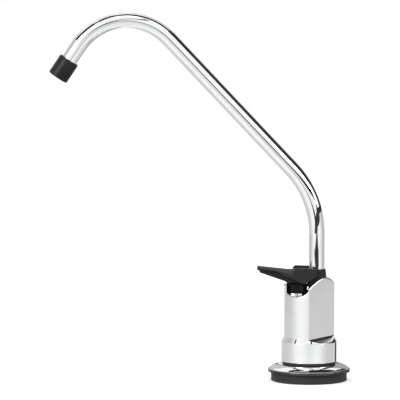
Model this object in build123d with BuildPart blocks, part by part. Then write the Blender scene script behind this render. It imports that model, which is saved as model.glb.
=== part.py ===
from build123d import *
import math
import os

os.makedirs("parts", exist_ok=True)

# A deck-mounted glass filler faucet, in millimetres. The origin is on the body's axis at the
# underside of the base washer, +Z is up, and the spout and the lever point to -X.

# Axes
valve_x = -7.4
spout_x = 4.5

# Fits
fit_gap = 0.05
swivel_gap = 0.07
lever_gap = 0.3

# Base: rubber washer, pressed cover plate and gasket
flange_radius = 24.6
flange_slope = 7.8
flange_rise = 4.4
flange_lip = 1.9
flange_lip_round = 0.8
flange_wall = 1.2
dome_bulge = 1.5
washer_setback = 2.0
washer_height = 5.6
washer_boss_play = 2.0
washer_boss_step = 1.1
washer_edge = 0.6
gasket_setback = 0.9
gasket_height = 1.7
foot_radius = 8.0

# Body
skirt_radius = 16.7
skirt_height = 11.6
bevel_height = 2.8
upper_radius = 15.1
lip_drop = 4.5
lip_wall = 1.4
notch_round = 0.5
notch_corner = 3.2
notch_depth = 6.2
notch_rear_x = -0.9
notch_lean = 0.3
bonnet_land = 1.3
facet_distance = 10.7
facet_angle = 42.5
facet_tilt = 4.0
ledge_angle = 25.5
facet_foot = 3.1
hump_height = 35.7
hump_front_drop = 5.0
hump_crest_x = 7.8
slope_bulge = 0.4
back_bulge = 1.1
rear_drop = 3.5
collar_sink = 0.7

# Water way in the body
inlet_radius = 5.2
inlet_depth = 22.0
seat_bore = 1.8
seat_ring = 1.1
seat_height = 1.0
chamber_radius = 5.05
chamber_depth = 19.4
cross_bore = 1.8
cross_lift = 8.5
transfer_bore = 1.6
transfer_dip = 4.0

# Bonnet and stem
bonnet_radius = 6.2
bonnet_flats = 11.5
bonnet_height = 5.8
bonnet_edge = 0.5
bonnet_skirt = 8.6
bonnet_cavity = 3.75
bonnet_ceiling = 4.6
stem_radius = 2.0
stem_tail_radius = 1.4
stem_tail_length = 2.6
gland_radius = 3.2
gland_height = 2.2
gland_below_top = 4.4
bonnet_ring_section = 0.8
pin_radius = 1.0
pin_above_bonnet = 4.1
pin_length = 8.0
eye_half_width = 1.7
eye_over_pin = 2.2
valve_closed_gap = 0.05
seat_washer_radius = 3.4
seat_washer_height = 1.8
seat_washer_proud = 0.6
holder_radius = 4.2
holder_height = 4.6
holder_edge = 0.3
screw_head_radius = 1.3
screw_head_height = 0.8
screw_radius = 0.8
screw_slot = 0.4
spring_washer_radius = 3.9
spring_washer_height = 0.6
spring_radius = 3.2
spring_wire = 0.7
spring_turns = 4.5

# Lever
lever_tip_x = -31.0
lever_tip_half = 5.2
lever_tip_bow = 1.8
lever_tip_corner = 2.0
lever_half = 10.7
lever_side_bow = 1.9
lever_full_reach = 3.0
lever_rear_x = 4.2
lever_plate = 2.4
lever_over_pin = 4.1
lever_tip_rise = 1.9
crown_half = 12.0
crown_drop = 4.5
crown_break_x = -13.0
wing_wall = 2.0
wing_front_x = -21.7
wing_low_x = -3.4
wing_low_lift = 0.1
wing_toe = 1.4
wing_toe_round = 1.5
wing_rear_drop = 1.0
wing_bevel = 0.7
wing_bevel_depth = 1.7
rim_front_x = -9.5
rim_height = 1.25
rim_fall = 0.4
rim_wall = 1.4
keel_half = 4.2
keel_tip_x = -29.4
keel_tip_drop = 1.2
keel_heel_reach = 0.8
keel_heel_lift = 1.0
keel_pad_inset = 0.5
nose_round = 0.9
slot_length = 1.4
collar_play = 1.0
slot_play = 0.2

# Spout
tube_radius = 4.76
tube_wall = 0.86
tube_rise = 30.6
lower_bend_radius = 55.8
lower_bend_angle = 43.3
incline_length = 105.8
gooseneck_radius = 34.4
gooseneck_angle = 102.8
tube_end_run = 9.4
tip_radius = 6.2
tip_length = 12.7
tip_cover = 9.0
tip_edge = 0.9
mouth_radius = 3.7
collar_foot_radius = 5.7
collar_top_radius = 5.3
collar_over_hump = 4.9
collar_straight = 1.2
collar_edge = 0.35
collar_bore_play = 0.09
ferrule_radius = 4.0
ferrule_bore = 2.2
ferrule_flange_radius = 5.15
ferrule_flange = 1.0
ferrule_spigot = 6.0
ferrule_length = 13.2
socket_spare = 5.0
ring_section = 0.95
ring_upper_depth = 4.0
ring_lower_depth = 8.5

# How far tools and cuts run past what they cut
overrun = 1.0

# Levels worked out from the sizes above
washer_radius = flange_radius - washer_setback
washer_boss_radius = flange_radius - flange_wall - washer_boss_play
flange_crown_radius = flange_radius - flange_slope
flange_top = washer_height + flange_rise
gasket_radius = skirt_radius - gasket_setback
body_foot = flange_top + gasket_height
skirt_top = body_foot + skirt_height
bevel_top = skirt_top + bevel_height
hump_top = bevel_top + hump_height
lip_top = hump_top - lip_drop
notch_floor = lip_top - notch_depth
bonnet_seat = notch_floor + bonnet_land
hump_front = hump_top - hump_front_drop
rear_top = hump_top - rear_drop
collar_seat = hump_front - collar_sink
collar_top = hump_top + collar_over_hump
bonnet_top = bonnet_seat + bonnet_height
chamber_floor = bonnet_seat - chamber_depth
seat_top = chamber_floor + seat_height
pin_level = bonnet_top + pin_above_bonnet
bonnet_foot = bonnet_seat - bonnet_skirt
cavity_top = bonnet_top - bonnet_ceiling - gland_height
hole_radius = foot_radius + fit_gap
bonnet_groove_radius = chamber_radius - fit_gap - bonnet_ring_section

# Base washer: a moulded ring with a boss that fills the cover plate
boss_top = flange_top - flange_wall - fit_gap
with BuildPart() as base_washer:
    with BuildSketch(Plane.XZ):
        with BuildLine():
            Polyline(
                (hole_radius, 0),
                (washer_radius, 0),
                (washer_radius, washer_height),
                (washer_boss_radius, washer_height),
                (washer_boss_radius, washer_height + washer_boss_step),
                (flange_crown_radius, boss_top - fit_gap),
                (hole_radius, boss_top - fit_gap),
                close=True,
            )
        make_face()
    revolve(axis=Axis.Z)
    rim = base_washer.edges().filter_by(GeomType.CIRCLE).sort_by(SortBy.RADIUS)[-2:]
    fillet(rim, radius=washer_edge)

# Cover plate: a dome pressed from sheet, open below, with a rounded lip
lip_level = washer_height + flange_lip
dome_middle = Vector(
    (flange_crown_radius + flange_radius) / 2, (flange_top + lip_level) / 2 + dome_bulge / 2
)
with BuildPart() as base_flange:
    with BuildSketch(Plane.XZ):
        with BuildLine():
            crown = Line((hole_radius, flange_top), (flange_crown_radius, flange_top))
            dome = ThreePointArc(
                crown @ 1, dome_middle, (flange_radius - flange_lip_round, lip_level)
            )
            lip = RadiusArc(
                dome @ 1, (flange_radius, lip_level - flange_lip_round), flange_lip_round
            )
            edge = Line(lip @ 1, (flange_radius, washer_height))
            foot = Line(edge @ 1, (flange_radius - flange_wall, washer_height))
            inner_edge = Line(
                foot @ 1, (flange_radius - flange_wall, lip_level - flange_lip_round)
            )
            inner_dome = ThreePointArc(
                inner_edge @ 1,
                dome_middle - Vector(flange_wall / 3, flange_wall),
                (flange_crown_radius, flange_top - flange_wall),
            )
            inner_crown = Line(inner_dome @ 1, (hole_radius, flange_top - flange_wall))
            Line(inner_crown @ 1, crown @ 0)
        make_face()
    revolve(axis=Axis.Z)

# Gasket between cover plate and body
with BuildPart() as body_gasket:
    with BuildSketch(Plane.XY.offset(flange_top)):
        Circle(gasket_radius)
        Circle(hole_radius, mode=Mode.SUBTRACT)
    extrude(amount=gasket_height)

# Tool that cuts one rear facet, with the sloped ledge at its foot
facet_normal = Vector(
    math.sin(math.radians(facet_angle)), -math.cos(math.radians(facet_angle)), 0
)
facet_run = Vector(
    math.cos(math.radians(facet_angle)) * math.cos(math.radians(facet_tilt)),
    math.sin(math.radians(facet_angle)) * math.cos(math.radians(facet_tilt)),
    math.sin(math.radians(facet_tilt)),
)
facet_foot_level = skirt_top + facet_foot
facet_origin = facet_normal * facet_distance + Vector(0, 0, facet_foot_level)
cut_reach = 2 * skirt_radius
with BuildPart() as facet_tool:
    with BuildSketch(Plane(origin=facet_origin, x_dir=facet_normal, z_dir=facet_run * -1)):
        with BuildLine():
            Polyline(
                (0, 0),
                (skirt_radius, -skirt_radius * math.tan(math.radians(ledge_angle))),
                (skirt_radius, hump_top),
                (0, hump_top),
                close=True,
            )
        make_face()
    extrude(amount=cut_reach, both=True)

# Tool that cuts the top of the body: lip, round-bottomed notch, slope and hump
with BuildPart() as crown_tool:
    with BuildSketch(Plane.XZ):
        with BuildLine():
            lip_front = Line((-cut_reach, lip_top), (-upper_radius + lip_wall, lip_top))
            notch_front = Line(
                lip_front @ 1, (-upper_radius + lip_wall, notch_floor + notch_corner - lip_wall / 2)
            )
            notch_arc = ThreePointArc(
                notch_front @ 1,
                ((notch_rear_x - upper_radius + lip_wall) / 2, notch_floor),
                (notch_rear_x, notch_floor + notch_corner),
            )
            notch_rear = Line(
                notch_arc @ 1, (notch_rear_x + notch_lean, hump_front - 3 * notch_lean)
            )
            slope = ThreePointArc(
                notch_rear @ 1,
                (
                    (notch_rear_x + hump_crest_x - slope_bulge) / 2,
                    (hump_front + hump_top - slope_bulge) / 2,
                ),
                (hump_crest_x, hump_top),
            )
            back = ThreePointArc(
                slope @ 1,
                ((hump_crest_x + upper_radius) / 2, (hump_top + rear_top) / 2 + back_bulge),
                (upper_radius, rear_top),
            )
            back_out = Line(back @ 1, (cut_reach, rear_top - skirt_radius / 2))
            Polyline(
                back_out @ 1,
                (cut_reach, 2 * hump_top),
                (-cut_reach, 2 * hump_top),
                lip_front @ 0,
            )
        make_face()
    extrude(amount=cut_reach, both=True)

# Body: turned skirt, bevel and barrel, two facets, the notch and hump, and the water way
transfer_start = Vector(valve_x / 2, 0, inlet_depth - transfer_bore)
transfer_end = Vector(valve_x, 0, seat_top - transfer_dip)
cross_level = chamber_floor + cross_lift
socket_bottom = collar_seat - ferrule_length - socket_spare
with BuildPart() as body:
    with BuildSketch(Plane.XZ):
        with BuildLine():
            Polyline(
                (0, 0),
                (foot_radius, 0),
                (foot_radius, body_foot),
                (skirt_radius, body_foot),
                (skirt_radius, skirt_top),
                (upper_radius, bevel_top),
                (upper_radius, hump_top + overrun),
                (0, hump_top + overrun),
                close=True,
            )
        make_face()
    revolve(axis=Axis.Z)
    add(facet_tool.part, mode=Mode.SUBTRACT)
    add(facet_tool.part.mirror(Plane.XZ), mode=Mode.SUBTRACT)
    add(crown_tool.part, mode=Mode.SUBTRACT)
    notch_rim = body.edges().filter_by(GeomType.BSPLINE).sort_by(SortBy.LENGTH)[-2:]
    fillet(notch_rim, radius=notch_round)
    with BuildSketch(Plane.XY.offset(notch_floor - overrun)):
        with Locations((valve_x, 0)):
            Circle(bonnet_flats / 2)
    extrude(amount=bonnet_land + overrun)
    with BuildSketch(Plane.XY.offset(bonnet_seat)):
        with Locations((valve_x, 0)):
            Circle(bonnet_radius + fit_gap)
    extrude(amount=hump_height, mode=Mode.SUBTRACT)
    with BuildSketch(Plane.XY.offset(chamber_floor)):
        with Locations((valve_x, 0)):
            Circle(chamber_radius)
    extrude(amount=chamber_depth + overrun, mode=Mode.SUBTRACT)
    with BuildSketch(Plane.XY.offset(chamber_floor - overrun)):
        with Locations((valve_x, 0)):
            Circle(seat_bore + seat_ring)
    extrude(amount=seat_height + overrun)
    with BuildSketch(Plane.XY.offset(transfer_end.Z)):
        with Locations((valve_x, 0)):
            Circle(seat_bore)
    extrude(amount=seat_top - transfer_end.Z, mode=Mode.SUBTRACT)
    with BuildSketch(Plane(origin=transfer_start, z_dir=transfer_end - transfer_start)):
        Circle(transfer_bore)
    extrude(amount=(transfer_end - transfer_start).length + overrun / 2, mode=Mode.SUBTRACT)
    with BuildSketch():
        Circle(inlet_radius)
    extrude(amount=inlet_depth, mode=Mode.SUBTRACT)
    with BuildSketch(Plane(origin=(valve_x, 0, cross_level), z_dir=(1, 0, 0))):
        Circle(cross_bore)
    extrude(amount=spout_x - valve_x, mode=Mode.SUBTRACT)
    with BuildSketch(Plane.XY.offset(socket_bottom)):
        with Locations((spout_x, 0)):
            Circle(ferrule_radius + fit_gap)
    extrude(amount=collar_seat - socket_bottom, mode=Mode.SUBTRACT)
    with BuildSketch(Plane.XY.offset(collar_seat)):
        with Locations((spout_x, 0)):
            Circle(collar_foot_radius + fit_gap)
    extrude(amount=2 * hump_height, mode=Mode.SUBTRACT)

# Bonnet: a moulded nut with six flats, a threaded skirt, the spring's room and a gland
with BuildPart() as bonnet:
    with BuildSketch(Plane.XY.offset(bonnet_seat)):
        with Locations((valve_x, 0)):
            Circle(bonnet_radius)
            RegularPolygon(bonnet_flats / 2, 6, major_radius=False, mode=Mode.INTERSECT)
    extrude(amount=bonnet_height)
    top_face = bonnet.faces().sort_by(Axis.Z)[-1]
    chamfer(top_face.edges(), length=bonnet_edge)
    with BuildSketch(Plane.XY.offset(bonnet_foot)):
        with Locations((valve_x, 0)):
            Circle(chamber_radius - fit_gap)
    extrude(amount=bonnet_skirt)
    with BuildSketch(Plane.XY.offset(bonnet_foot)):
        with Locations((valve_x, 0)):
            Circle(bonnet_cavity)
    extrude(amount=cavity_top - bonnet_foot, mode=Mode.SUBTRACT)
    with BuildSketch(Plane.XY.offset(bonnet_foot)):
        with Locations((valve_x, 0)):
            Circle(stem_radius + fit_gap)
    extrude(amount=bonnet_top - bonnet_foot, mode=Mode.SUBTRACT)
    with BuildSketch(Plane.XY.offset(bonnet_top - gland_below_top)):
        with Locations((valve_x, 0)):
            Circle(gland_radius)
    extrude(amount=gland_height, mode=Mode.SUBTRACT)
    with BuildSketch(Plane.XY.offset(bonnet_seat - gland_height)):
        with Locations((valve_x, 0)):
            Circle(chamber_radius)
            Circle(bonnet_groove_radius, mode=Mode.SUBTRACT)
    extrude(amount=bonnet_ring_section + 2 * fit_gap, mode=Mode.SUBTRACT)

# Seals of the bonnet and the stem
with BuildPart() as bonnet_o_ring:
    ring_level = bonnet_seat - gland_height + bonnet_ring_section / 2 + fit_gap
    with BuildSketch(Plane.XZ):
        with Locations((valve_x + bonnet_groove_radius + bonnet_ring_section / 2, ring_level)):
            Circle(bonnet_ring_section / 2)
    revolve(axis=Axis((valve_x, 0, 0), (0, 0, 1)))

stem_ring_section = gland_radius - stem_radius - 2 * fit_gap
with BuildPart() as stem_o_ring:
    ring_level = bonnet_top - gland_below_top + gland_height / 2
    with BuildSketch(Plane.XZ):
        with Locations((valve_x + (stem_radius + gland_radius) / 2, ring_level)):
            Circle(stem_ring_section / 2)
    revolve(axis=Axis((valve_x, 0, 0), (0, 0, 1)))

# Plunger at the stem's foot, with its rubber disc, screw and spring washer
washer_foot = seat_top + valve_closed_gap
holder_foot = washer_foot + seat_washer_proud
holder_top = holder_foot + holder_height
with BuildPart() as seat_holder:
    with BuildSketch(Plane.XY.offset(holder_foot)):
        with Locations((valve_x, 0)):
            Circle(holder_radius)
    extrude(amount=holder_height)
    fillet(seat_holder.edges().group_by(Axis.Z)[0], radius=holder_edge)
    with BuildSketch(Plane.XY.offset(holder_foot)):
        with Locations((valve_x, 0)):
            Circle(seat_washer_radius)
    extrude(amount=seat_washer_height - seat_washer_proud, mode=Mode.SUBTRACT)
    with BuildSketch(Plane.XY.offset(holder_foot)):
        with Locations((valve_x, 0)):
            Circle(screw_radius)
    extrude(amount=holder_height, mode=Mode.SUBTRACT)
    with BuildSketch(Plane.XY.offset(holder_top - stem_tail_length)):
        with Locations((valve_x, 0)):
            Circle(stem_tail_radius)
    extrude(amount=stem_tail_length, mode=Mode.SUBTRACT)

with BuildPart() as seat_washer:
    with BuildSketch(Plane.XY.offset(washer_foot)):
        with Locations((valve_x, 0)):
            Circle(seat_washer_radius)
            Circle(screw_radius, mode=Mode.SUBTRACT)
    extrude(amount=seat_washer_height)

screw_foot = washer_foot - screw_head_height
with BuildPart() as seat_screw:
    with BuildSketch(Plane.XY.offset(screw_foot)):
        with Locations((valve_x, 0)):
            Circle(screw_head_radius)
    extrude(amount=screw_head_height)
    with BuildSketch(Plane.XY.offset(washer_foot)):
        with Locations((valve_x, 0)):
            Circle(screw_radius)
    extrude(amount=seat_washer_height)
    with BuildSketch(Plane.XY.offset(screw_foot)):
        with Locations((valve_x, 0)):
            Rectangle(2 * screw_head_radius, screw_slot)
    extrude(amount=screw_slot, mode=Mode.SUBTRACT)

with BuildPart() as spring_washer:
    with BuildSketch(Plane.XY.offset(holder_top)):
        with Locations((valve_x, 0)):
            Circle(spring_washer_radius)
            Circle(stem_radius + fit_gap, mode=Mode.SUBTRACT)
    extrude(amount=spring_washer_height)

# Closing spring between the washer and the bonnet
spring_foot = holder_top + spring_washer_height
spring_height = cavity_top - spring_foot
coil_rise = spring_height - spring_wire - 2 * fit_gap
with BuildPart() as stem_spring:
    with BuildLine() as coil_line:
        Helix(
            pitch=coil_rise / spring_turns,
            height=coil_rise,
            radius=spring_radius,
            center=(valve_x, 0, spring_foot + spring_wire / 2 + fit_gap),
        )
    with BuildSketch(Plane(origin=coil_line.line @ 0, z_dir=coil_line.line % 0)):
        RegularPolygon(spring_wire / 2, 6)
    sweep(is_frenet=True)

# Stem: a turned rod with a threaded tail and a flat eye for the lever's pin
eye_top = pin_level + eye_over_pin
with BuildPart() as valve_stem:
    with BuildSketch(Plane.XY.offset(holder_top)):
        with Locations((valve_x, 0)):
            Circle(stem_radius)
    extrude(amount=pin_level - holder_top)
    with BuildSketch(Plane.XZ):
        with Locations((valve_x, pin_level)):
            Circle(eye_over_pin)
    extrude(amount=stem_radius, both=True)
    with BuildSketch(Plane.XY.offset(pin_level - eye_over_pin - slot_play)):
        with Locations((valve_x, 0)):
            Rectangle(6 * stem_radius, 6 * stem_radius)
            Rectangle(6 * stem_radius, 2 * eye_half_width, mode=Mode.SUBTRACT)
    extrude(amount=3 * eye_over_pin, mode=Mode.SUBTRACT)
    with BuildSketch(Plane.XY.offset(holder_top - stem_tail_length)):
        with Locations((valve_x, 0)):
            Circle(stem_tail_radius)
    extrude(amount=stem_tail_length)
    with BuildSketch(Plane.XZ):
        with Locations((valve_x, pin_level)):
            Circle(pin_radius)
    extrude(amount=2 * stem_radius, both=True, mode=Mode.SUBTRACT)

with BuildPart() as lever_pin:
    with BuildSketch(Plane.XZ):
        with Locations((valve_x, pin_level)):
            Circle(pin_radius)
    extrude(amount=pin_length / 2, both=True)

# Outline of the lever seen from above: a narrow rounded tip that widens to the straight rear
lever_full_x = valve_x - lever_full_reach
with BuildSketch() as lever_plan:
    with BuildLine():
        tip_arc = ThreePointArc(
            (lever_tip_x + lever_tip_bow, -lever_tip_half),
            (lever_tip_x, 0),
            (lever_tip_x + lever_tip_bow, lever_tip_half),
        )
        near_side = ThreePointArc(
            tip_arc @ 1, (wing_front_x, lever_tip_half + lever_side_bow), (lever_full_x, lever_half)
        )
        rear = Polyline(
            near_side @ 1,
            (lever_rear_x, lever_half),
            (lever_rear_x, -lever_half),
            (lever_full_x, -lever_half),
        )
        ThreePointArc(rear @ 1, (wing_front_x, -lever_tip_half - lever_side_bow), tip_arc @ 0)
    lever_outline = make_face()
    fillet(lever_outline.vertices().group_by(Axis.X)[0], radius=lever_tip_corner)

# Levels of the lever, from its pin and from the bonnet that its keel bears on
lever_top_rear = pin_level + lever_over_pin
lever_top_tip = lever_top_rear + lever_tip_rise
rim_top = lever_top_rear + rim_height
plate_under_tip = lever_top_tip - lever_plate
plate_under_rear = lever_top_rear - lever_plate
pad_level = bonnet_top + lever_gap
wing_low_level = pad_level + wing_low_lift
wing_rear_level = plate_under_rear - wing_rear_drop
above_lever = rim_top + lever_tip_rise + overrun
collar_clear = collar_foot_radius + collar_play

# Room under the lever between its wings, open at the rear
with BuildPart() as lever_hollow:
    with BuildSketch(Plane.XZ):
        with BuildLine():
            Polyline(
                (wing_front_x - overrun, plate_under_tip),
                (rim_front_x, plate_under_rear),
                (lever_rear_x + overrun, plate_under_rear),
                (lever_rear_x + overrun, notch_floor),
                (wing_front_x - overrun, notch_floor),
                close=True,
            )
        make_face()
    extrude(amount=lever_half, both=True)
    with BuildSketch(Plane.XY.offset(notch_floor)):
        add(lever_plan.sketch)
        offset(amount=-wing_wall)
        with Locations(((lever_full_x + lever_rear_x) / 2, 0)):
            Rectangle(lever_rear_x - lever_full_x + 4 * overrun, 2 * (lever_half - wing_wall))
    extrude(amount=4 * lever_half, mode=Mode.INTERSECT)

# Tool above the lever's front that leaves its top crowned across and rising to the tip
crown_plane = Plane(origin=(crown_break_x, 0, lever_top_rear), x_dir=(0, -1, 0), z_dir=(-1, 0, 0))
tip_rise_way = Vector(lever_tip_x - crown_break_x, 0, lever_tip_rise)
with BuildPart() as crown_cut:
    with BuildSketch(crown_plane) as crown_section:
        Rectangle(3 * lever_half, 2 * crown_drop)
        with Locations((0, -crown_drop)):
            Ellipse(crown_half, crown_drop, mode=Mode.SUBTRACT)
    extrude(amount=tip_rise_way.length * 1.1, dir=tip_rise_way)
    extrude(crown_section.sketch, amount=rim_front_x - crown_break_x, dir=(1, 0, 0))

# Lever: a moulded paddle with side wings, a keel that bears on the bonnet and raised rear rims
with BuildPart() as lever:
    with BuildSketch(Plane.XZ):
        with BuildLine():
            nose = ThreePointArc(
                (lever_tip_x + nose_round, plate_under_tip),
                (lever_tip_x - nose_round / 4, (plate_under_tip + lever_top_tip) / 2),
                (lever_tip_x + nose_round, lever_top_tip),
            )
            Polyline(
                nose @ 1,
                (lever_tip_x + nose_round, above_lever),
                (rim_front_x, above_lever),
                (rim_front_x, lever_top_rear),
                (rim_front_x + rim_height, rim_top),
                (lever_rear_x, rim_top - rim_fall),
                (lever_rear_x, wing_rear_level),
                (wing_low_x + wing_toe / 2, wing_low_level),
                (wing_low_x - wing_toe / 2, wing_low_level),
                (wing_front_x, plate_under_tip),
                nose @ 0,
            )
        wing_side = make_face()
        fillet(wing_side.vertices().group_by(Axis.Y)[0], radius=wing_toe_round)
    extrude(amount=lever_half, both=True)
    with BuildSketch(Plane.XY.offset(notch_floor)):
        add(lever_plan.sketch)
    extrude(amount=4 * lever_half, mode=Mode.INTERSECT)
    add(crown_cut.part, mode=Mode.SUBTRACT)
    with BuildSketch(Plane.XY.offset(lever_top_rear)):
        with Locations(((rim_front_x + lever_rear_x) / 2, 0)):
            Rectangle(lever_rear_x - rim_front_x + 2, 2 * (lever_half - rim_wall))
    extrude(amount=2 * rim_height, mode=Mode.SUBTRACT)
    for side in (-1, 1):
        wing_edge = (
            lever.edges()
            .filter_by_position(Axis.X, wing_front_x - overrun, wing_low_x)
            .filter_by(lambda e: side * e.center().Y > lever_tip_half)
            .filter_by_position(Axis.Z, wing_low_level, plate_under_tip + fit_gap)
            .sort_by(SortBy.LENGTH)[-1]
        )
        side_face = lever.faces().filter_by(GeomType.CYLINDER).filter_by(
            lambda f: any(e.is_same(wing_edge) for e in f.edges())
        )[0]
        chamfer(wing_edge, length=wing_bevel, length2=wing_bevel_depth, reference=side_face)
    add(lever_hollow.part, mode=Mode.SUBTRACT)
    with BuildSketch(Plane.XZ):
        with BuildLine():
            Polyline(
                (keel_tip_x - overrun / 2, plate_under_tip + overrun / 2),
                (keel_tip_x, plate_under_tip - keel_tip_drop),
                (valve_x - bonnet_radius - keel_heel_reach, pad_level + keel_heel_lift),
                (valve_x - bonnet_radius + keel_pad_inset, pad_level),
                (valve_x + bonnet_radius - 2 * keel_pad_inset, pad_level),
                (valve_x + bonnet_radius - keel_pad_inset, plate_under_rear + overrun / 2),
                (rim_front_x, plate_under_rear + overrun / 2),
                close=True,
            )
        make_face()
    extrude(amount=keel_half, both=True)
    with BuildSketch(Plane.XY.offset(plate_under_rear - lever_plate)):
        with Locations((spout_x, 0)):
            Circle(collar_clear)
    extrude(amount=4 * lever_plate, mode=Mode.SUBTRACT)
    with BuildSketch(Plane.XY.offset(pad_level - overrun)):
        with Locations((valve_x, 0)):
            Rectangle(2 * (stem_radius + slot_length), 2 * (stem_radius + slot_play))
    extrude(amount=eye_top + overrun / 2 - pad_level + overrun, mode=Mode.SUBTRACT)
    with BuildSketch(Plane.XZ):
        with Locations((valve_x, pin_level)):
            Circle(pin_radius + fit_gap)
    extrude(amount=pin_length / 2 + fit_gap, both=True, mode=Mode.SUBTRACT)

# Spout tube: a vertical rise, the lower bend, the incline and the gooseneck
tube_foot = collar_seat + fit_gap + ferrule_flange
with BuildPart() as spout_tube:
    with BuildLine(Plane.XZ) as spout_line:
        rise = Line((spout_x, tube_foot), (spout_x, tube_foot + tube_rise))
        lower_bend = JernArc(rise @ 1, rise % 1, lower_bend_radius, lower_bend_angle)
        incline = Line(lower_bend @ 1, lower_bend @ 1 + (lower_bend % 1) * incline_length)
        gooseneck = JernArc(incline @ 1, incline % 1, gooseneck_radius, gooseneck_angle)
        Line(gooseneck @ 1, gooseneck @ 1 + (gooseneck % 1) * (tube_end_run + tip_cover))
    with BuildSketch(Plane.XY.offset(tube_foot)):
        with Locations((spout_x, 0)):
            Circle(tube_radius)
            Circle(tube_radius - tube_wall, mode=Mode.SUBTRACT)
    sweep(path=spout_line.line)

# Ferrule: the turned foot of the spout, with a flange under the collar and two ring grooves
ferrule_foot = collar_seat - ferrule_length
upper_ring_level = collar_seat - ring_upper_depth
lower_ring_level = collar_seat - ring_lower_depth
groove_half = ring_section / 2 + fit_gap
with BuildPart() as spout_ferrule:
    with BuildSketch(Plane.XZ):
        with BuildLine():
            Polyline(
                (ferrule_bore, ferrule_foot),
                (ferrule_radius, ferrule_foot),
                (ferrule_radius, collar_seat + fit_gap),
                (ferrule_flange_radius, collar_seat + fit_gap),
                (ferrule_flange_radius, tube_foot),
                (tube_radius - tube_wall, tube_foot),
                (tube_radius - tube_wall, tube_foot + ferrule_spigot),
                (ferrule_bore, tube_foot + ferrule_spigot),
                close=True,
            )
        make_face()
        with Locations(
            (ferrule_radius, upper_ring_level), (ferrule_radius, lower_ring_level)
        ):
            Rectangle(2 * ring_section, 2 * groove_half, mode=Mode.SUBTRACT)
    revolve(axis=Axis.Z)
spout_ferrule.part = spout_ferrule.part.moved(Location((spout_x, 0, 0)))

# Two O-rings of the spout's swivel
ring_parts = []
for ring_level in (upper_ring_level, lower_ring_level):
    with BuildPart() as spout_ring:
        with BuildSketch(Plane.XZ):
            with Locations((spout_x + ferrule_radius - ring_section / 2, ring_level)):
                Circle(ring_section / 2 - fit_gap / 2)
        revolve(axis=Axis((spout_x, 0, 0), (0, 0, 1)))
    ring_parts.append(spout_ring.part)

# Collar: a moulded ring that screws into the hump and holds the ferrule's flange down
with BuildPart() as spout_collar:
    with BuildSketch(Plane.XZ):
        with BuildLine():
            Polyline(
                (ferrule_flange_radius + fit_gap, collar_seat),
                (collar_foot_radius, collar_seat),
                (collar_foot_radius, hump_top + collar_straight),
                (collar_top_radius, collar_top),
                (tube_radius + collar_bore_play, collar_top),
                (tube_radius + collar_bore_play, tube_foot + swivel_gap),
                (ferrule_flange_radius + fit_gap, tube_foot + swivel_gap),
                close=True,
            )
        make_face()
    revolve(axis=Axis.Z)
    top_edge = spout_collar.edges().group_by(Axis.Z)[-1].sort_by(SortBy.RADIUS)[-1]
    fillet(top_edge, radius=collar_edge)
spout_collar.part = spout_collar.part.moved(Location((spout_x, 0, 0)))

# Outlet tip: a moulded sleeve pushed over the tube, with a narrower mouth
tip_start = gooseneck @ 1 + (gooseneck % 1) * tube_end_run
with BuildPart() as outlet_tip:
    with BuildSketch(Plane(origin=tip_start, x_dir=(0, 1, 0), z_dir=gooseneck % 1)):
        Circle(tip_radius)
    extrude(amount=tip_length)
    fillet(outlet_tip.edges(), radius=tip_edge)
    with BuildSketch(Plane(origin=tip_start, x_dir=(0, 1, 0), z_dir=gooseneck % 1)):
        Circle(tube_radius)
    extrude(amount=tip_cover, mode=Mode.SUBTRACT)
    with BuildSketch(Plane(origin=tip_start, x_dir=(0, 1, 0), z_dir=gooseneck % 1)):
        Circle(mouth_radius)
    extrude(amount=tip_length, mode=Mode.SUBTRACT)

pieces = {
    "base_washer": base_washer.part,
    "base_flange": base_flange.part,
    "body_gasket": body_gasket.part,
    "body": body.part,
    "bonnet": bonnet.part,
    "bonnet_o_ring": bonnet_o_ring.part,
    "stem_o_ring": stem_o_ring.part,
    "seat_holder": seat_holder.part,
    "seat_washer": seat_washer.part,
    "seat_screw": seat_screw.part,
    "spring_washer": spring_washer.part,
    "stem_spring": stem_spring.part,
    "valve_stem": valve_stem.part,
    "lever_pin": lever_pin.part,
    "lever": lever.part,
    "spout_tube": spout_tube.part,
    "spout_ferrule": spout_ferrule.part,
    "spout_o_ring_upper": ring_parts[0],
    "spout_o_ring_lower": ring_parts[1],
    "spout_collar": spout_collar.part,
    "outlet_tip": outlet_tip.part,
}
for name, piece in pieces.items():
    piece.label = name
    export_step(piece, f"parts/{name}.step")
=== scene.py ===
import math

import bpy
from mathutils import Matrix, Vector


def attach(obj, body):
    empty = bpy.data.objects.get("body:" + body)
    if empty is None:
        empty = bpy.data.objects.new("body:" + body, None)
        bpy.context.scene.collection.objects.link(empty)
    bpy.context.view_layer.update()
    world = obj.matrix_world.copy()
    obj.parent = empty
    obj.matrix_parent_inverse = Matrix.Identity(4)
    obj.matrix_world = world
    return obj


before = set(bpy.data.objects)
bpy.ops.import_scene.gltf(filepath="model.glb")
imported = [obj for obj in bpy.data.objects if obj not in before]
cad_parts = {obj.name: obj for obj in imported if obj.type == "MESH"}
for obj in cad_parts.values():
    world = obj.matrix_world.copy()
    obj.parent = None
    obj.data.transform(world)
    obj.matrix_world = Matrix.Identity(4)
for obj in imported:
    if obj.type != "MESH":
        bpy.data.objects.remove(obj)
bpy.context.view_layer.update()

# The camera stands 2 m off with a long lens, a little above the faucet, and looks along +Y.
# The faucet's side view fills the square picture, with the spout and the lever to the left.
camera_place = Vector((-0.0649, -2.0, 0.274))
camera_pitch = math.radians(4.757)
focal_pixels = 3382.0
picture_pixels = 400.0
sensor_width = 36.0
bpy.ops.object.camera_add(location=camera_place, rotation=(math.pi / 2 - camera_pitch, 0, 0))
camera = bpy.context.object
camera.data.sensor_width = sensor_width
camera.data.lens = focal_pixels / picture_pixels * sensor_width
camera.data.clip_start = 0.05
bpy.context.scene.camera = camera
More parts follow.
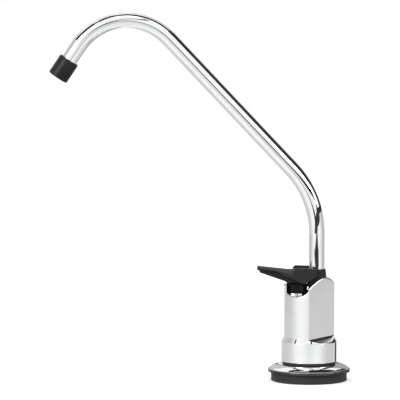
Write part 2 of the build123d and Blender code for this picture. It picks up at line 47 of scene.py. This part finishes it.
bpy.context.scene.view_settings.view_transform = "Standard"

# The studio is a light tent. The camera sees it as plain white and it lights the table softly.
# In the chrome it shows as it is: bright ahead and overhead, with grey side walls up to a
# hand's height over the table and a pale grey table top.


# A value is a number, a colour or the output of another node.
def feed(tree, socket, value):
    if isinstance(value, bpy.types.NodeSocket):
        tree.links.new(value, socket)
    else:
        socket.default_value = value


def add_math(tree, operation, *values):
    made = tree.nodes.new("ShaderNodeMath")
    made.operation = operation
    for socket, value in zip(made.inputs, values):
        feed(tree, socket, value)
    return made.outputs[0]


def add_range(tree, value, from_low, from_high, to_low=0.0, to_high=1.0, smooth=False):
    made = tree.nodes.new("ShaderNodeMapRange")
    made.interpolation_type = "SMOOTHSTEP" if smooth else "LINEAR"
    made.inputs["From Min"].default_value = from_low
    made.inputs["From Max"].default_value = from_high
    made.inputs["To Min"].default_value = to_low
    made.inputs["To Max"].default_value = to_high
    tree.links.new(value, made.inputs["Value"])
    return made.outputs["Result"]


def add_mix(tree, share, first, second, kind="RGBA"):
    made = tree.nodes.new("ShaderNodeMix")
    made.data_type = kind
    for name, value in (("Factor", share), ("A", first), ("B", second)):
        feed(tree, made.inputs[name], value)
    return made.outputs["Result"]


def add_ramp(tree, share, stops):
    made = tree.nodes.new("ShaderNodeValToRGB")
    elements = made.color_ramp.elements
    while len(elements) < len(stops):
        elements.new(0.5)
    for element, (position, colour) in zip(elements, stops):
        element.position = position
        element.color = (*colour, 1)
    tree.links.new(share, made.inputs["Fac"])
    return made.outputs["Color"]


def add_axes(tree, vector):
    made = tree.nodes.new("ShaderNodeSeparateXYZ")
    tree.links.new(vector, made.inputs[0])
    return made.outputs


def add_choice(tree, share, shader_at_0, shader_at_1):
    made = tree.nodes.new("ShaderNodeMixShader")
    for socket, value in zip(made.inputs, (share, shader_at_0, shader_at_1)):
        tree.links.new(value, socket)
    return made.outputs[0]


tent = bpy.data.worlds.new("light_tent")
bpy.context.scene.world = tent
tent.use_nodes = True
tent_tree = tent.node_tree
tent_tree.nodes.clear()
tent_axes = add_axes(tent_tree, tent_tree.nodes.new("ShaderNodeTexCoord").outputs["Generated"])
tent_depth = add_math(tent_tree, "MULTIPLY", tent_axes["Y"], -1.0)
tent_turn = add_math(tent_tree, "ARCTAN2", tent_axes["X"], tent_depth)
tent_share = add_range(tent_tree, tent_turn, -math.pi, math.pi)


# Each step is a turn in degrees from the front of the tent, to the right, and its grey.
def round_the_tent(steps):
    stops = [((turn + 180) / 360, (grey, grey, grey)) for turn, grey in steps]
    return add_ramp(tent_tree, tent_share, stops)


tent_wall = round_the_tent([
    (-180, 1.0), (-158, 1.0), (-148, 0.66), (-135, 0.57), (-120, 0.51), (-107, 0.53), (-96, 0.57),
    (-86, 0.64), (-76, 0.74), (-67, 0.84), (-59, 0.92), (-50, 0.99), (-30, 0.96), (0, 0.9),
    (30, 0.96), (43, 1.0), (51, 0.93), (59, 0.84), (67, 0.74), (76, 0.65), (86, 0.58), (96, 0.53),
    (107, 0.5), (120, 0.51), (135, 0.55), (148, 0.68), (158, 1.0), (180, 1.0),
])
tent_table = round_the_tent([
    (-180, 1.0), (-160, 0.98), (-152, 0.68), (-138, 0.62), (-93, 0.66), (-76, 0.77), (-66, 0.87),
    (-56, 0.95), (-45, 1.0), (-28, 1.0), (-13, 0.9), (0, 0.84), (12, 0.88), (20, 0.93), (41, 0.94),
    (50, 0.87), (59, 0.79), (70, 0.7), (82, 0.63), (100, 0.65), (116, 0.62), (122, 0.72),
    (127, 0.8), (131, 0.3), (135, 0.08), (148, 0.08), (153, 0.6), (160, 0.98), (180, 1.0),
])
table_line = (-0.12, -0.1)
wall_top = (0.16, 0.26)
# The left wall stands higher than the right one.
left_wall_rise = 0.55
tent_left = add_math(tent_tree, "MINIMUM", tent_axes["X"], 0.0)
tent_height = add_math(tent_tree, "MULTIPLY_ADD", tent_left, left_wall_rise, tent_axes["Z"])
over_table = add_range(tent_tree, tent_axes["Z"], *table_line, smooth=True)
over_wall = add_range(tent_tree, tent_height, *wall_top, smooth=True)
tent_low = add_mix(tent_tree, over_table, tent_table, tent_wall)
tent_mirrored = add_mix(tent_tree, over_wall, tent_low, (1, 1, 1, 1))


def add_background(colour, strength=1.0):
    made = tent_tree.nodes.new("ShaderNodeBackground")
    feed(tent_tree, made.inputs["Color"], colour)
    made.inputs["Strength"].default_value = strength
    return made.outputs[0]


tent_ray = tent_tree.nodes.new("ShaderNodeLightPath").outputs
tent_straight = add_math(
    tent_tree, "MAXIMUM", tent_ray["Is Camera Ray"], tent_ray["Is Transmission Ray"],
)
tent_light = add_background((0.95, 0.97, 1.0, 1), 0.75)
tent_seen = add_choice(tent_tree, tent_straight, tent_light, add_background((1, 1, 1, 1)))
tent_shown = add_choice(
    tent_tree, tent_ray["Is Glossy Ray"], tent_seen, add_background(tent_mirrored),
)
tent_output = tent_tree.nodes.new("ShaderNodeOutputWorld")
tent_tree.links.new(tent_shown, tent_output.inputs["Surface"])

# The table top is a pale sheet that the camera sees as white, with the faucet's soft shadow on
# it. It throws little light back up, and reflections look past it to the tent's own grey.
table_top = bpy.data.materials.new("pale_table_top")
table_top.use_nodes = True
table_tree = table_top.node_tree
table_tree.nodes.clear()
table_cloth = table_tree.nodes.new("ShaderNodeBsdfDiffuse")
table_cloth.inputs["Color"].default_value = (0.92, 0.92, 0.92, 1)
table_glow = table_tree.nodes.new("ShaderNodeEmission")
table_glow.inputs["Strength"].default_value = 0.35
table_seen = table_tree.nodes.new("ShaderNodeAddShader")
table_tree.links.new(table_cloth.outputs[0], table_seen.inputs[0])
table_tree.links.new(table_glow.outputs[0], table_seen.inputs[1])
table_bounce = table_tree.nodes.new("ShaderNodeBsdfDiffuse")
table_bounce.inputs["Color"].default_value = (0.2, 0.2, 0.2, 1)
table_ray = table_tree.nodes.new("ShaderNodeLightPath").outputs
table_shown = add_choice(
    table_tree, table_ray["Is Camera Ray"], table_bounce.outputs[0], table_seen.outputs[0],
)
table_output = table_tree.nodes.new("ShaderNodeOutputMaterial")
table_tree.links.new(table_shown, table_output.inputs["Surface"])
bpy.ops.mesh.primitive_circle_add(vertices=96, radius=6.0, fill_type="NGON", location=(0, 0, 0))
table_sheet = bpy.context.object
table_sheet.name = "table_top"
table_sheet.data.materials.append(table_top)
table_sheet.visible_glossy = False

# Three soft boxes: the large one in front on the left, one overhead and a weaker one on the
# right, so that the black mouldings show their faces with soft edges. All aim at the faucet.
faucet_middle = Vector((-0.04, 0, 0.1))
for box_name, box_place, (box_width, box_height), box_watts in (
    ("front_left_box", (-1.3, -1.3, 0.9), (0.9, 0.9), 14),
    ("top_box", (-0.2, 0.1, 1.8), (1.2, 1.2), 5),
    ("right_box", (1.5, -0.7, 0.8), (0.6, 0.9), 7),
):
    bpy.ops.object.light_add(type="AREA", location=box_place)
    soft_box = bpy.context.object
    soft_box.name = box_name
    soft_box.data.shape = "RECTANGLE"
    soft_box.data.size = box_width
    soft_box.data.size_y = box_height
    soft_box.data.energy = box_watts
    box_aim = faucet_middle - Vector(box_place)
    soft_box.rotation_euler = box_aim.to_track_quat("-Z", "Y").to_euler()

# Flags: black boards, grey cards and black cables round the table that only reflections see.
# They draw the dark lines along the chrome.


def hide_from_camera(board, grey):
    cloth = bpy.data.materials.new(board.name)
    cloth.use_nodes = True
    cloth_tree = cloth.node_tree
    cloth_tree.nodes.clear()
    shade = cloth_tree.nodes.new("ShaderNodeEmission")
    shade.inputs["Color"].default_value = (grey, grey, grey, 1)
    cloth_output = cloth_tree.nodes.new("ShaderNodeOutputMaterial")
    cloth_tree.links.new(shade.outputs[0], cloth_output.inputs["Surface"])
    board.data.materials.append(cloth)
    board.visible_camera = False
    board.visible_diffuse = False
    board.visible_transmission = False
    board.visible_shadow = False


def hang_board(name, corners, grey):
    bpy.ops.mesh.primitive_circle_add(vertices=len(corners), radius=1.0, fill_type="NGON")
    board = bpy.context.object
    board.name = name
    for vertex, corner in zip(board.data.vertices, corners):
        vertex.co = corner
    hide_from_camera(board, grey)


cable_grey = 0.02


# A cable hangs through points given as a turn and a rise in degrees, seen from its middle. Its
# reach is their distance in metres, and its spread is half its width as a share of the reach.
def hang_cable(name, middle, reach, points, spread):
    bpy.ops.mesh.primitive_grid_add(x_subdivisions=len(points) - 1, y_subdivisions=1, size=1.0)
    cable = bpy.context.object
    cable.name = name
    for place, (turn, rise) in enumerate(points):
        turn, rise = math.radians(turn), math.radians(rise)
        spot = Vector((
            math.sin(turn) * math.cos(rise), -math.cos(turn) * math.cos(rise), math.sin(rise),
        ))
        for side, sign in ((0, -1), (1, 1)):
            vertex = cable.data.vertices[side * len(points) + place]
            vertex.co = Vector(middle) + (spot + Vector(spread) * sign) * reach
    hide_from_camera(cable, cable_grey)


right_board_x = 1.0
hang_board(
    "right_upper_flag",
    [(right_board_x, y, z) for y, z in (
        (0.3, 0.23), (-0.45, 0.21), (-0.45, 0.28), (0.2, 0.3), (0.12, 0.56), (-0.26, 0.66),
        (-0.45, 0.93), (-0.3, 1.08), (-0.45, 1.4), (0.95, 1.42), (1.6, 1.2), (2.6, 1.0),
        (3.0, 0.6), (2.9, 0.14),
    )],
    0.035,
)
front_board_y = -0.75
hang_board(
    "front_low_flag",
    [(x, front_board_y, z) for x, z in (
        (-0.62, -0.016), (-0.4, -0.004), (-0.15, 0.014), (-0.02, 0.03), (0.12, 0.05),
        (0.207, 0.07), (0.45, 0.125), (0.75, 0.22), (1.0, 0.31), (1.75, 0.5), (1.75, 0.28),
        (1.0, 0.11), (0.45, 0.05), (0.2, 0.033), (0.085, 0.02), (0.2, 0.006), (0.34, -0.002),
        (0.36, -0.016),
    )],
    0.04,
)
gooseneck = (-0.11, 0, 0.2)
for cable_name, cable_middle, cable_reach, cable_points, cable_spread in (
    ("front_cable", (-0.03, 0, 0.14), 1.5,
     [(67, 15), (52, 13), (44, 13), (30, 10.5), (20, 8), (12, 5.7), (6, 4.5), (-6, 4)],
     (0, 0, 0.065)),
    ("top_right_cable", gooseneck, 1.2, [(100, 40), (111, 52), (119, 60)], (0, 0.3, 0)),
    ("top_cable", gooseneck, 1.2,
     [(119, 60), (142, 80), (-125, 77), (-108, 68), (-95, 62)], (0, 0.3, 0)),
    ("top_left_cable", gooseneck, 1.2, [(-97, 63), (-84, 54), (-82, 48)], (0, 0.2, 0)),
    ("left_cable", gooseneck, 0.4, [(-90, 56), (-86, 47), (-84, 38), (-84, 33)], (0, 0.3, 0)),
    ("stand_cable", (-0.12, 0, 0.21), 1.5,
     [(38, 60), (30, 55), (15, 44), (5, 34), (-4, 22), (-7, 12), (-7, 2)], (0.05, 0, 0.02)),
):
    hang_cable(cable_name, cable_middle, cable_reach, cable_points, cable_spread)
card_y = 1.2
card_foot = 0.05
card_head = 1.1
for card_name, card_left, card_right, card_grey in (
    ("back_left_card", -0.7, -0.075, 0.6),
    ("back_left_post", -0.075, -0.035, 0.08),
    ("back_middle_card", -0.035, 0.03, 0.8),
    ("back_right_post", 0.03, 0.055, 0.06),
    ("back_right_card", 0.055, 0.7, 0.4),
):
    hang_board(
        card_name,
        [
            (card_left, card_y, card_foot), (card_right, card_y, card_foot),
            (card_right, card_y, card_head), (card_left, card_y, card_head),
        ],
        card_grey,
    )

# Base washer: a thick ring of moulded black rubber that the cover plate is pressed over. The
# faucet stands on it, and it seals the counter's hole.


# The parts of a new material that every finish starts from.
def start_material(name):
    material = bpy.data.materials.new(name)
    material.use_nodes = True
    tree = material.node_tree
    place = tree.nodes.new("ShaderNodeTexCoord").outputs["Object"]
    return material, tree, tree.nodes["Principled BSDF"].inputs, place


def add_noise(tree, place, scale, detail=2.0):
    made = tree.nodes.new("ShaderNodeTexNoise")
    made.inputs["Scale"].default_value = scale
    made.inputs["Detail"].default_value = detail
    tree.links.new(place, made.inputs["Vector"])
    return made.outputs["Fac"]


def add_bump(tree, height, strength, distance):
    made = tree.nodes.new("ShaderNodeBump")
    made.inputs["Strength"].default_value = strength
    made.inputs["Distance"].default_value = distance
    tree.links.new(height, made.inputs["Height"])
    return made


# One noise varies a material's tone and its roughness.
def vary(tree, shader, noise, tones, roughness):
    tree.links.new(add_ramp(tree, noise, tones), shader["Base Color"])
    tree.links.new(add_range(tree, noise, 0.0, 1.0, *roughness), shader["Roughness"])


def moulded_rubber(name, darker, lighter, bloom_scale):
    material, tree, shader, place = start_material(name)
    shader["Specular IOR Level"].default_value = 0.35
    bloom = add_noise(tree, place, bloom_scale, detail=5.0)
    tones = [(0.3, (darker, darker, darker * 1.03)), (0.75, (lighter, lighter, lighter * 1.02))]
    vary(tree, shader, bloom, tones, roughness=(0.5, 0.68))
    skin = add_noise(tree, place, scale=2600.0)
    bump = add_bump(tree, skin, strength=0.2, distance=0.00004)
    tree.links.new(bump.outputs["Normal"], shader["Normal"])
    return material


def dress(node, material):
    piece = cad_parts[node]
    piece.data.materials.clear()
    piece.data.materials.append(material)


dress("base_washer", moulded_rubber("washer_rubber", 0.03, 0.045, bloom_scale=240.0))

# Cover plate: a shallow dome pressed from brass sheet, with a turned-down lip, polished and
# chromed. It covers the rubber washer and carries the body. A band round the foot of the lip is
# painted near black: painted shade and a painted reflection of the black rubber washer under it.


def chrome_plate(name, haze_scale, roughness):
    material, tree, shader, place = start_material(name)
    shader["Metallic"].default_value = 1.0
    haze = add_noise(tree, place, haze_scale, detail=4.0)
    tones = [(0.3, (0.9, 0.905, 0.91)), (0.7, (0.96, 0.962, 0.965))]
    vary(tree, shader, haze, tones, roughness)
    return material


# Below these heights the lip is painted near black, as painted shade and a painted reflection of
# the washer.
lip_painted_shade_height = (0.0069, 0.0076)
cover_chrome = chrome_plate("cover_plate_chrome", haze_scale=140.0, roughness=(0.02, 0.05))
cover_tree = cover_chrome.node_tree
cover_tone = cover_tree.nodes["Principled BSDF"].inputs["Base Color"]
cover_place = cover_tree.nodes.new("ShaderNodeTexCoord").outputs["Object"]
above_painted_lip_shade = add_range(cover_tree, add_axes(cover_tree, cover_place)["Z"], *lip_painted_shade_height)
cover_plated = cover_tone.links[0].from_socket
# Painted shade: the plating's tone gives way to near black below the lip band.
cover_tone_with_painted_shade = add_mix(cover_tree, above_painted_lip_shade, (0.07, 0.07, 0.075, 1), cover_plated)
cover_tree.links.new(cover_tone_with_painted_shade, cover_tone)
dress("base_flange", cover_chrome)

# Body gasket: a thin ring of dark rubber between the cover plate and the foot of the body. The
# body clamps it down, and it keeps water out of the joint.
dress("body_gasket", moulded_rubber("gasket_rubber", 0.012, 0.022, bloom_scale=420.0))

# Valve body: cast and machined brass, with a round skirt, two flats at the rear and the notch
# for the bonnet, buffed and chromed. The ledges under the flats stay duller, because a buffing
# wheel reaches them only near the flats' foot.
body_chrome = chrome_plate("body_chrome", haze_scale=110.0, roughness=(0.02, 0.04))
body_tree = body_chrome.node_tree
body_shader = body_tree.nodes["Principled BSDF"].inputs
body_place = body_tree.nodes.new("ShaderNodeTexCoord").outputs
body_axes = add_axes(body_tree, body_place["Object"])
flat_turn = math.radians(47.4)
flat_distance = 0.0107
buffed_least = 0.0018
buffed_most = 0.0026
upward_normal = (0.75, 0.85)
ledge_level = 0.031
ledge_roughness = 0.3
across = add_math(body_tree, "ABSOLUTE", body_axes["Y"])
forward = add_math(body_tree, "MULTIPLY", body_axes["X"], math.cos(flat_turn))
outward = add_math(body_tree, "MULTIPLY_ADD", across, math.sin(flat_turn), forward)
past_flat = add_range(
    body_tree, outward, flat_distance + buffed_least, flat_distance + buffed_most, smooth=True,
)
body_normal = add_axes(body_tree, body_place["Normal"])
faces_up = add_range(body_tree, body_normal["Z"], *upward_normal)
at_ledge = add_math(body_tree, "LESS_THAN", body_axes["Z"], ledge_level)
ledge_side = add_math(body_tree, "MULTIPLY", past_flat, faces_up)
ledge_share = add_math(body_tree, "MULTIPLY", ledge_side, at_ledge)
buffed = body_shader["Roughness"].links[0].from_socket
body_gloss = add_mix(body_tree, ledge_share, buffed, ledge_roughness, kind="FLOAT")
body_tree.links.new(body_gloss, body_shader["Roughness"])


def add_edges(tree, radius, samples):
    made = tree.nodes.new("ShaderNodeBevel")
    made.samples = samples
    feed(tree, made.inputs["Radius"], radius)
    return made.outputs["Normal"]


# Buffing rounds the edges a little, and those of the hump more.
hump_foot = (0.05, 0.054)
edge_radius = add_range(body_tree, body_axes["Z"], *hump_foot, to_low=0.0003, to_high=0.0012)
body_tree.links.new(add_edges(body_tree, edge_radius, samples=12), body_shader["Normal"])
# The plating doesn't reach the inlet bore, which shows bare brass.
bore_radius = 0.0055
bore_top = 0.0225
flattened = body_tree.nodes.new("ShaderNodeVectorMath")
flattened.operation = "MULTIPLY"
flattened.inputs[1].default_value = (1, 1, 0)
body_tree.links.new(body_place["Object"], flattened.inputs[0])
from_axis = body_tree.nodes.new("ShaderNodeVectorMath")
from_axis.operation = "LENGTH"
body_tree.links.new(flattened.outputs[0], from_axis.inputs[0])
within_radius = add_math(body_tree, "LESS_THAN", from_axis.outputs["Value"], bore_radius)
under_top = add_math(body_tree, "LESS_THAN", body_axes["Z"], bore_top)
bore_share = add_math(body_tree, "MULTIPLY", within_radius, under_top)
plated = body_shader["Base Color"].links[0].from_socket
bare_brass = (0.78, 0.62, 0.34, 1)
body_tone = add_mix(body_tree, bore_share, plated, bare_brass)
body_tree.links.new(body_tone, body_shader["Base Color"])
dress("body", body_chrome)

# Inlet thread: cut in the bare brass of the inlet bore, from its mouth at the body's foot
# upwards. The supply fitting screws into it.


def turned_metal(name, darker, lighter, roughness):
    material, tree, shader, place = start_material(name)
    shader["Metallic"].default_value = 1.0
    stretch = tree.nodes.new("ShaderNodeMapping")
    stretch.inputs["Scale"].default_value = (120.0, 120.0, 2600.0)
    tree.links.new(place, stretch.inputs["Vector"])
    cuts = add_noise(tree, stretch.outputs["Vector"], scale=1.0, detail=3.0)
    vary(tree, shader, cuts, [(0.3, darker), (0.7, lighter)], roughness)
    return material


turned_brass = turned_metal("turned_brass", (0.7, 0.54, 0.28), (0.82, 0.66, 0.38), (0.22, 0.34))
thread_root = 0.0053
thread_crest = 0.0048
thread_foot = 0.0011
thread_width = 0.001
thread_pitch = 0.0011
thread_turns = 15
thread_steps = 48
thread_corners = (
    (thread_root, thread_foot),
    (thread_root, thread_foot + thread_width),
    (thread_crest, thread_foot + thread_width / 2),
)
bpy.ops.object.select_all(action="DESELECT")
bpy.ops.mesh.primitive_circle_add(vertices=3, radius=1.0, fill_type="NOTHING")
inlet_thread = bpy.context.object
inlet_thread.name = "inlet_thread"
for vertex, (radius, height) in zip(inlet_thread.data.vertices, thread_corners):
    vertex.co = (radius, 0, height)
screw = inlet_thread.modifiers.new("turns", "SCREW")
screw.axis = "Z"
screw.angle = 2 * math.pi
screw.screw_offset = thread_pitch
screw.iterations = thread_turns
screw.steps = thread_steps
screw.render_steps = thread_steps
screw.use_merge_vertices = False
bpy.ops.object.modifier_apply(modifier=screw.name)
bpy.ops.object.mode_set(mode="EDIT")
bpy.ops.mesh.select_all(action="SELECT")
bpy.ops.mesh.remove_doubles(threshold=0.000001)
bpy.ops.mesh.select_all(action="DESELECT")
bpy.ops.mesh.select_non_manifold()
bpy.ops.mesh.fill_holes(sides=4)
bpy.ops.mesh.select_all(action="SELECT")
bpy.ops.mesh.normals_make_consistent(inside=False)
bpy.ops.object.mode_set(mode="OBJECT")
bpy.ops.object.shade_smooth_by_angle(angle=math.radians(30))
inlet_thread.data.materials.append(turned_brass)
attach(inlet_thread, "faucet_body")

# Valve seat: a white plastic plunger at the stem's foot holds a rubber disc, and a small steel
# screw clamps the disc to it. The disc closes the hole over the inlet.
white_plastic, white_tree, white_shader, white_place = start_material("seat_holder_moulding")
white_cloud = add_noise(white_tree, white_place, scale=300.0, detail=4.0)
white_tones = [(0.3, (0.78, 0.77, 0.73)), (0.7, (0.86, 0.85, 0.81))]
vary(white_tree, white_shader, white_cloud, white_tones, roughness=(0.4, 0.5))
dress("seat_holder", white_plastic)
dress("seat_washer", moulded_rubber("seat_washer_rubber", 0.014, 0.024, bloom_scale=600.0))
plain_steel = turned_metal("plain_steel", (0.55, 0.55, 0.56), (0.64, 0.64, 0.65), (0.24, 0.36))
dress("seat_screw", plain_steel)

# Spring and its washer: a coil of stainless wire pushes the plunger down on the seat and stands
# on a plain stamped washer.
dress("spring_washer", plain_steel)
spring_wire = turned_metal("spring_wire", (0.5, 0.5, 0.51), (0.6, 0.6, 0.61), (0.2, 0.3))
dress("stem_spring", spring_wire)

# Valve stem: a turned stainless steel rod. It carries the plunger at its foot, slides through
# the bonnet, and the lever lifts it by the pin in its head.
dress("valve_stem", plain_steel)

# Bonnet and its seals: a black moulded nut closes the valve chamber in the notch. One rubber
# ring seals it in the body and one seals the stem in it.


def ring_rubber(name):
    return moulded_rubber(name, 0.012, 0.02, bloom_scale=500.0)


def black_moulding(name, darker, lighter, roughness, edge):
    material, tree, shader, place = start_material(name)
    shader["Specular IOR Level"].default_value = 0.15
    cloud = add_noise(tree, place, scale=120.0)
    tones = [(0.35, (darker, darker, darker * 1.03)), (0.65, (lighter, lighter, lighter * 1.03))]
    vary(tree, shader, cloud, tones, roughness)
    grain = add_noise(tree, place, scale=1400.0, detail=3.0)
    bump = add_bump(tree, grain, strength=0.12, distance=0.00005)
    tree.links.new(add_edges(tree, edge, samples=8), bump.inputs["Normal"])
    tree.links.new(bump.outputs["Normal"], shader["Normal"])
    return material


dress("bonnet_o_ring", ring_rubber("bonnet_ring_rubber"))
dress("stem_o_ring", ring_rubber("stem_ring_rubber"))
dress("bonnet", black_moulding("bonnet_moulding", 0.005, 0.009, (0.3, 0.38), edge=0.0002))

# Spout ferrule and its seals: a turned brass sleeve on the tube's foot that swivels in the
# body on two rubber rings.
dress("spout_ferrule", turned_brass)
dress("spout_o_ring_lower", ring_rubber("lower_ring_rubber"))
dress("spout_o_ring_upper", ring_rubber("upper_ring_rubber"))

# Spout tube: thin brass tube, bent cold at the foot and over the gooseneck, then polished and
# chromed. Its foot sits in the ferrule.
dress("spout_tube", chrome_plate("tube_chrome", haze_scale=90.0, roughness=(0.02, 0.035)))

# Spout collar: a satin black moulding round the tube's foot. It holds the spout down on the
# body's hump and hides the joint.
dress("spout_collar", black_moulding("collar_moulding", 0.028, 0.034, (0.42, 0.5), edge=0.0002))

# Outlet tip: a short black moulding pushed over the end of the tube. It covers the cut edge and
# steadies the stream.
dress("outlet_tip", black_moulding("tip_moulding", 0.02, 0.028, (0.24, 0.32), edge=0.0003))

# Lever and its pin: a satin black moulding with two wings and a keel, on a steel cross pin
# through the head of the stem.
dress("lever_pin", plain_steel)
dress("lever", black_moulding("lever_moulding", 0.031, 0.037, (0.4, 0.48), edge=0.0003))
